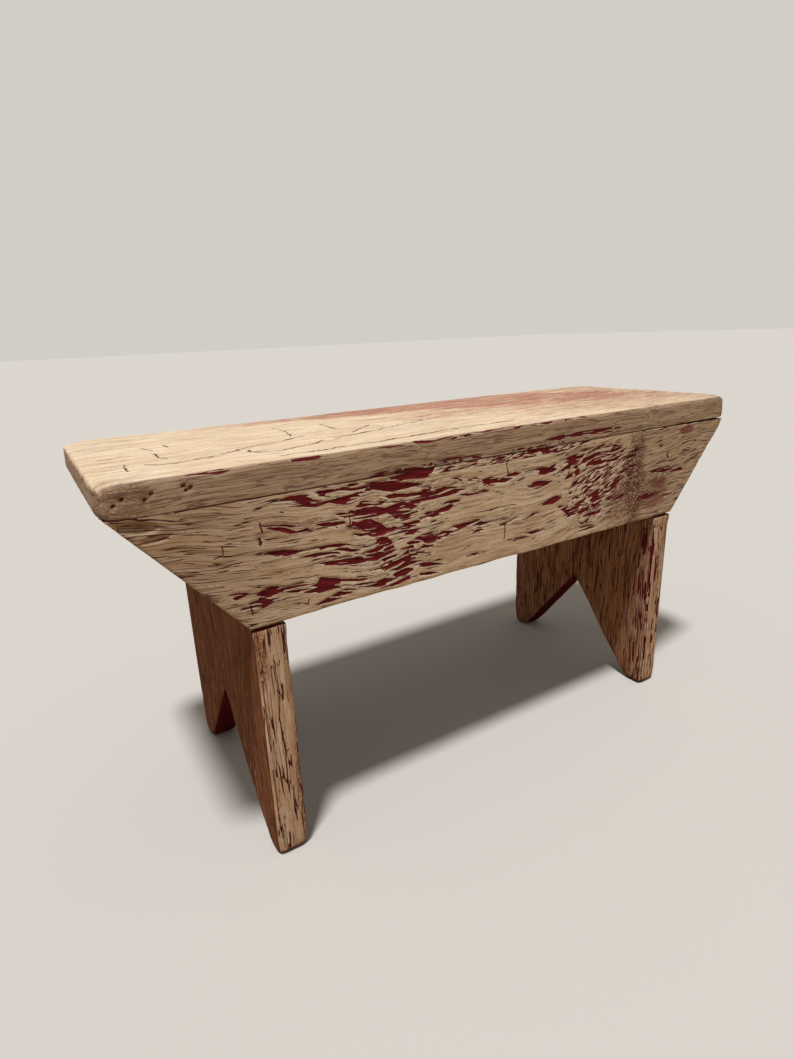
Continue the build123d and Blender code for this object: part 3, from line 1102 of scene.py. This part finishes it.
def crackled_paint(name, cell, drawings, **changes):
    """Cream over oxblood. drawings lists the cracks of each face, and changes give this board's own look."""
    look = SimpleNamespace(**{**PLAIN_LOOK, **changes})
    material, graph = new_material(name)
    spot = read_board(graph, cell)
    # The rim lightens the cream there as a painted highlight, and it raises the bump.
    rim = graph.ease(spot.field, -0.7 * MM, -0.1 * MM) * (1 - spot.hole)
    dashes = grimy_slits(graph, spot, look.dash)
    broken = crumb_gaps(graph, spot)
    coat = cream_coat(graph, spot, look, rim, dashes, broken)
    shown = spot.cream * (1 - spot.hole)
    colour = graph.mix(shown, oxblood_under(graph, spot), coat)
    height = shown * 0.35 + rim * 0.35 + spot.fibre * 0.3 + spot.streaks * 0.3 + spot.specks * 0.15
    height = height - dashes * 0.4 - broken * 0.4
    colour, height = draw_cracks(graph, spot, drawings, colour, height)
    bump = graph.node("ShaderNodeBump", {}, {"Strength": 0.8, "Distance": 0.6 * MM, "Height": height})
    roughness = graph.ease(shown, 0.0, 1.0, 0.8, 0.68)
    sockets = {"Base Color": colour, "Roughness": roughness, "Normal": bump}
    sockets["Specular IOR Level"] = look.shine
    shader = graph.node("ShaderNodeBsdfPrincipled", {}, sockets)
    graph.node("ShaderNodeOutputMaterial", {}, {"Surface": shader})
    print(name, "has", len(graph.tree.nodes), "nodes")
    return material


# %% Lines of the cracks
FRONT_FACE = (1, -HALF_DEPTH + 4 * MM, -HALF_DEPTH + 3 * MM)
TOP_FACE = (2, TOP - 4 * MM, TOP - 3 * MM)
APRON_LINES = [
    [(2, 283), (1, 276), (3, 268)],
    [(-2, 228), (0, 222), (-1, 212)],
    [(-210, 268), (-209, 262)],
    [(-145, 262), (-145, 254)],
    [(-243, 251), (-237, 252), (-237, 258)],
    [(-222, 213), (-222, 206)],
    [(-186, 205), (-182, 203), (-181, 207)],
    [(73, 265), (73, 254)],
]
SEAT_CHECKS = [
    [(-266, -52), (-260, -58), (-250, -63), (-214, -51), (-190, -37), (-166, -29), (-140, -18)],
    [(-196, -59), (-178, -67), (-150, -59), (-136, -49)],
    [(-126, -49), (-86, -35), (-62, -27), (-22, -15)],
    [(-102, -29), (-74, -7)],
    [(-186, -86), (-110, -85), (-70, -80), (-22, -75), (30, -75)],
    [(-290, -12), (-282, -14)],
]
SEAT_CRACKS = [
    [(-278, -43), (-280, -55), (-279, -67)],
    [(-254, -12), (-253, -30), (-250, -40)],
    [(-196, -49), (-198, -56), (-194, -60)],
    [(-144, 37), (-140, 17), (-146, 2), (-148, -11)],
    [(-102, 33), (-104, -3)],
    [(-256, 18), (-252, 2)],
    [(-240, 20), (-238, 8)],
]
SEAT_PITS = [[(a, b), (a + 0.8, b + 0.5)] for a, b in SEAT_HOLES]
SEAT_PITS += [[(-53, 305.5), (-50, 306)], [(-41, 306), (-37, 306.5)]]
SEAM_LINES = [[(-262, 285.6), (-200, 285.8), (-120, 285.6), (-40, 285.8), (80, 285.7), (190, 285.8)]]
LEFT_LEG_LINES = [
    [(-211, 168), (-210, 140), (-212, 120), (-210, 90), (-211, 65)],
    [(-221, 155), (-222, 120), (-221, 96)],
    [(-221.5, 80), (-221, 50), (-220, 17)],
    [(-209, 92), (-207, 93)],
    [(-207, 60), (-208, 36)],
]
RIGHT_LEG_LINES = [
    [(201, 180), (202, 150), (201, 120)],
    [(202, 100), (203, 60), (204, 30)],
    [(213, 150), (214, 110)],
]
SHOULDER_LINES = [[(-225, 193.5), (-198, 194)], [(198, 194), (225, 193.5)]]
NAIL_HOLES = [[(end * 211.7, 254.2), (end * 211.7 + 0.5, 255)] for end in (-1, 1)]
print("seat: drawn with", len(SEAT_CHECKS), "long checks and", len(SEAT_CRACKS), "short cracks")

# %% Paint of the aprons, the seat and the legs
apron_drawn = [
    drawing((0, 2), FRONT_FACE, 0.4 * MM, 4 * MM, OXBLOOD_DARK, APRON_LINES),
    drawing((0, 2), FRONT_FACE, 0.6 * MM, 1 * MM, DIRT, SEAM_LINES),
    drawing((0, 2), FRONT_FACE, 1.3 * MM, 1 * MM, DIRT, NAIL_HOLES),
]
apron_paint = crackled_paint("apron_paint", APRON_CELL, apron_drawn, streaky=0.65, worn_to=FADED_RED)
seat_drawn = [
    drawing((0, 1), TOP_FACE, 1.0 * MM, 10 * MM, CRACK, SEAT_CHECKS),
    drawing((0, 1), TOP_FACE, 0.65 * MM, 8 * MM, CRACK, SEAT_CRACKS),
    drawing((0, 2), FRONT_FACE, 1.1 * MM, 2 * MM, OXBLOOD_DARK, SEAT_PITS),
]
seat_look = {"dash": (90 * MM, 1.9 * MM), "dirt": 0.55, "streaky": 1.0, "fresh": 0.2}
seat_paint = crackled_paint("seat_paint", SEAT_CELL, seat_drawn, **seat_look)
leg_drawn = [
    drawing((0, 2), FRONT_FACE, 0.4 * MM, 3 * MM, OXBLOOD_DARK, LEFT_LEG_LINES + RIGHT_LEG_LINES),
    drawing((0, 2), FRONT_FACE, 0.8 * MM, 1 * MM, OXBLOOD_DARK, SHOULDER_LINES),
]
# The legs' stain colour also paints warm bounced shade on their broad faces.
leg_look = {"dash": (60 * MM, 1.9 * MM), "worn_to": MAROON, "stain": BROWN_STAIN_AND_WARM_BOUNCE, "shine": 0.01}
leg_paint = crackled_paint("leg_paint", LEG_CELL, leg_drawn, **leg_look)

# %% [markdown]
# ## From plank to old board
# Each plank is now meshed finely and aged by its tree, and the spare wood is cut off at the joint under the
# seat. Cutting last keeps that seam thin and straight, where ageing would have rounded it. The front apron
# gets a second, slanting cut near its right end, where the seat has lifted off it.

# %% Trees
front_ruling = apron_ruling(FRONT_SPOTS, FRONT_TEARS, FRONT_RUBBED, FRONT_PEBBLED)
rear_ruling = apron_ruling(REAR_SPOTS, REAR_TEARS, REAR_RUBBED, REAR_PEBBLED)
front_apron_tree = worn_board_tree("worn front apron", front_ruling, APRON_CELL)
rear_apron_tree = worn_board_tree("worn rear apron", rear_ruling, APRON_CELL)
seat_tree = worn_board_tree("worn seat", seat_ruling, SEAT_CELL)
leg_tree = worn_board_tree("worn leg", leg_ruling, LEG_CELL)

# %% Shape the boards
SEAT_VOXEL = 1.7 * MM
APRON_VOXEL = 1.15 * MM
LEG_VOXEL = 1.12 * MM
JOINT = (0, 0, UNDER_SEAT)
OPENS_AT = 140 * MM
GAP_SLOPE = 0.015
under_seat = [(JOINT, (0, 0, -1))]
flush = [(JOINT, (0, 0, 1))]
gaping = [*flush, ((OPENS_AT, 0, UNDER_SEAT), (GAP_SLOPE, 0, 1))]
PLAN = (
    ("seat", "seat_board", seat_tree, SEAT_VOXEL, under_seat, seat_paint, "seat_paint"),
    ("front_apron", "front_apron", front_apron_tree, APRON_VOXEL, gaping, apron_paint, "apron_paint"),
    ("rear_apron", "rear_apron", rear_apron_tree, APRON_VOXEL, flush, apron_paint, "apron_paint"),
    ("left_leg", "left_leg", leg_tree, LEG_VOXEL, [], leg_paint, "leg_paint"),
    ("right_leg", "right_leg", leg_tree, LEG_VOXEL, [], leg_paint, "leg_paint"),
)
for name, node, tree, voxel, cuts, paint, slot in PLAN:
    board = shape_with(tree, boards[name], voxel, cuts, Paint=paint)
    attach(board, "root")
    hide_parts(node)

# %% [markdown]
# ## Nails
# Cut nails were punched below the surface and painted over. Their shape is in the model already, so they only
# get a finish: black mill scale broken by rust, from one noise that drives both the colour and the bump.

# %% Nails
RUST = (0.07, 0.035, 0.02, 1.0)
MILL_SCALE = (0.02, 0.016, 0.014, 1.0)


def rusty_iron(name):
    """Dull black iron with rust in spots about a millimetre across."""
    material, graph = new_material(name)
    place = graph.node("ShaderNodeTexCoord", {}, {}, "Object")
    scale = graph.noise(graph.stretched(place, 1 * MM, 1 * MM, 1 * MM), 4.0, 0.7)
    colour = graph.mix(graph.ease(scale, 0.4, 0.6), MILL_SCALE, RUST)
    bump = graph.node("ShaderNodeBump", {}, {"Strength": 0.5, "Distance": 0.2 * MM, "Height": scale})
    sockets = {"Base Color": colour, "Roughness": 0.8, "Metallic": 0.3, "Normal": bump}
    shader = graph.node("ShaderNodeBsdfPrincipled", {}, sockets)
    graph.node("ShaderNodeOutputMaterial", {}, {"Surface": shader})
    return material


iron = rusty_iron("nail_iron")
rusted = [node for name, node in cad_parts.items() if "nails" in name]
for node in rusted:
    for number in range(len(node.data.materials)):
        node.data.materials[number] = iron
print(len(rusted), "groups of nails got", iron.name)

# %% [markdown]
# ## Floor, backdrop and light
# One lamp nearly overhead, a little to the left and the front, lights the top and leaves the upright faces
# in soft shade. A ring of area lamps would be softer, but it would blur the shadow that tells how the bench
# stands. The floor and the world show the camera a pale tone, and pass on a darker and slightly warmer one,
# as a room with a wooden floor does, so the old paint is not washed out.

# %% Floor
FLOOR_SIZE = 40.0
PALE = (0.64, 0.615, 0.575, 1.0)
FLOOR_GLOW = (0.36, 0.27, 0.19, 1.0)


def seen_or_lit(graph, seen, lit):
    """One colour for what the camera and mirrors see, another for the light that is passed on."""
    kinds = ("Is Camera Ray", "Is Glossy Ray", "Is Transmission Ray")
    camera_ray, glossy_ray, clear_ray = (graph.node("ShaderNodeLightPath", {}, {}, kind) for kind in kinds)
    return graph.mix(camera_ray.most(glossy_ray).most(clear_ray), lit, seen)


bpy.ops.mesh.primitive_plane_add(size=FLOOR_SIZE, location=(0, 0, 0))
floor = bpy.context.object
floor.name = "floor"
floor_finish, graph = new_material("pale floor")
colour = seen_or_lit(graph, PALE, FLOOR_GLOW)
shader = graph.node("ShaderNodeBsdfDiffuse", {}, {"Color": colour})
graph.node("ShaderNodeOutputMaterial", {}, {"Surface": shader})
floor.data.materials.append(floor_finish)
print("floor", FLOOR_SIZE, "m square")

# %% Light
SUN_FROM = Vector((-0.40, -0.36, 1.75))
SUN_STRENGTH = 2.75
SUN_SOFTNESS = math.radians(7)
FILL = (0.278, 0.258, 0.234, 1.0)

key = bpy.data.objects.new("key light", bpy.data.lights.new("key light", "SUN"))
key.data.energy = SUN_STRENGTH
key.data.angle = SUN_SOFTNESS
key.rotation_euler = SUN_FROM.to_track_quat("Z", "Y").to_euler()
scene.collection.objects.link(key)
world = bpy.data.worlds.new("soft room")
scene.world = world
world.use_nodes = True
world.node_tree.nodes.clear()
graph = Graph(world.node_tree)
colour = seen_or_lit(graph, PALE, FILL)
shader = graph.node("ShaderNodeBackground", {}, {"Color": colour})
graph.node("ShaderNodeOutputWorld", {}, {"Surface": shader})
height_angle = math.degrees(math.asin(SUN_FROM.normalized().z))
print("sun", SUN_STRENGTH, "strong,", round(height_angle), "degrees up")
scene.view_settings.view_transform = "Standard"
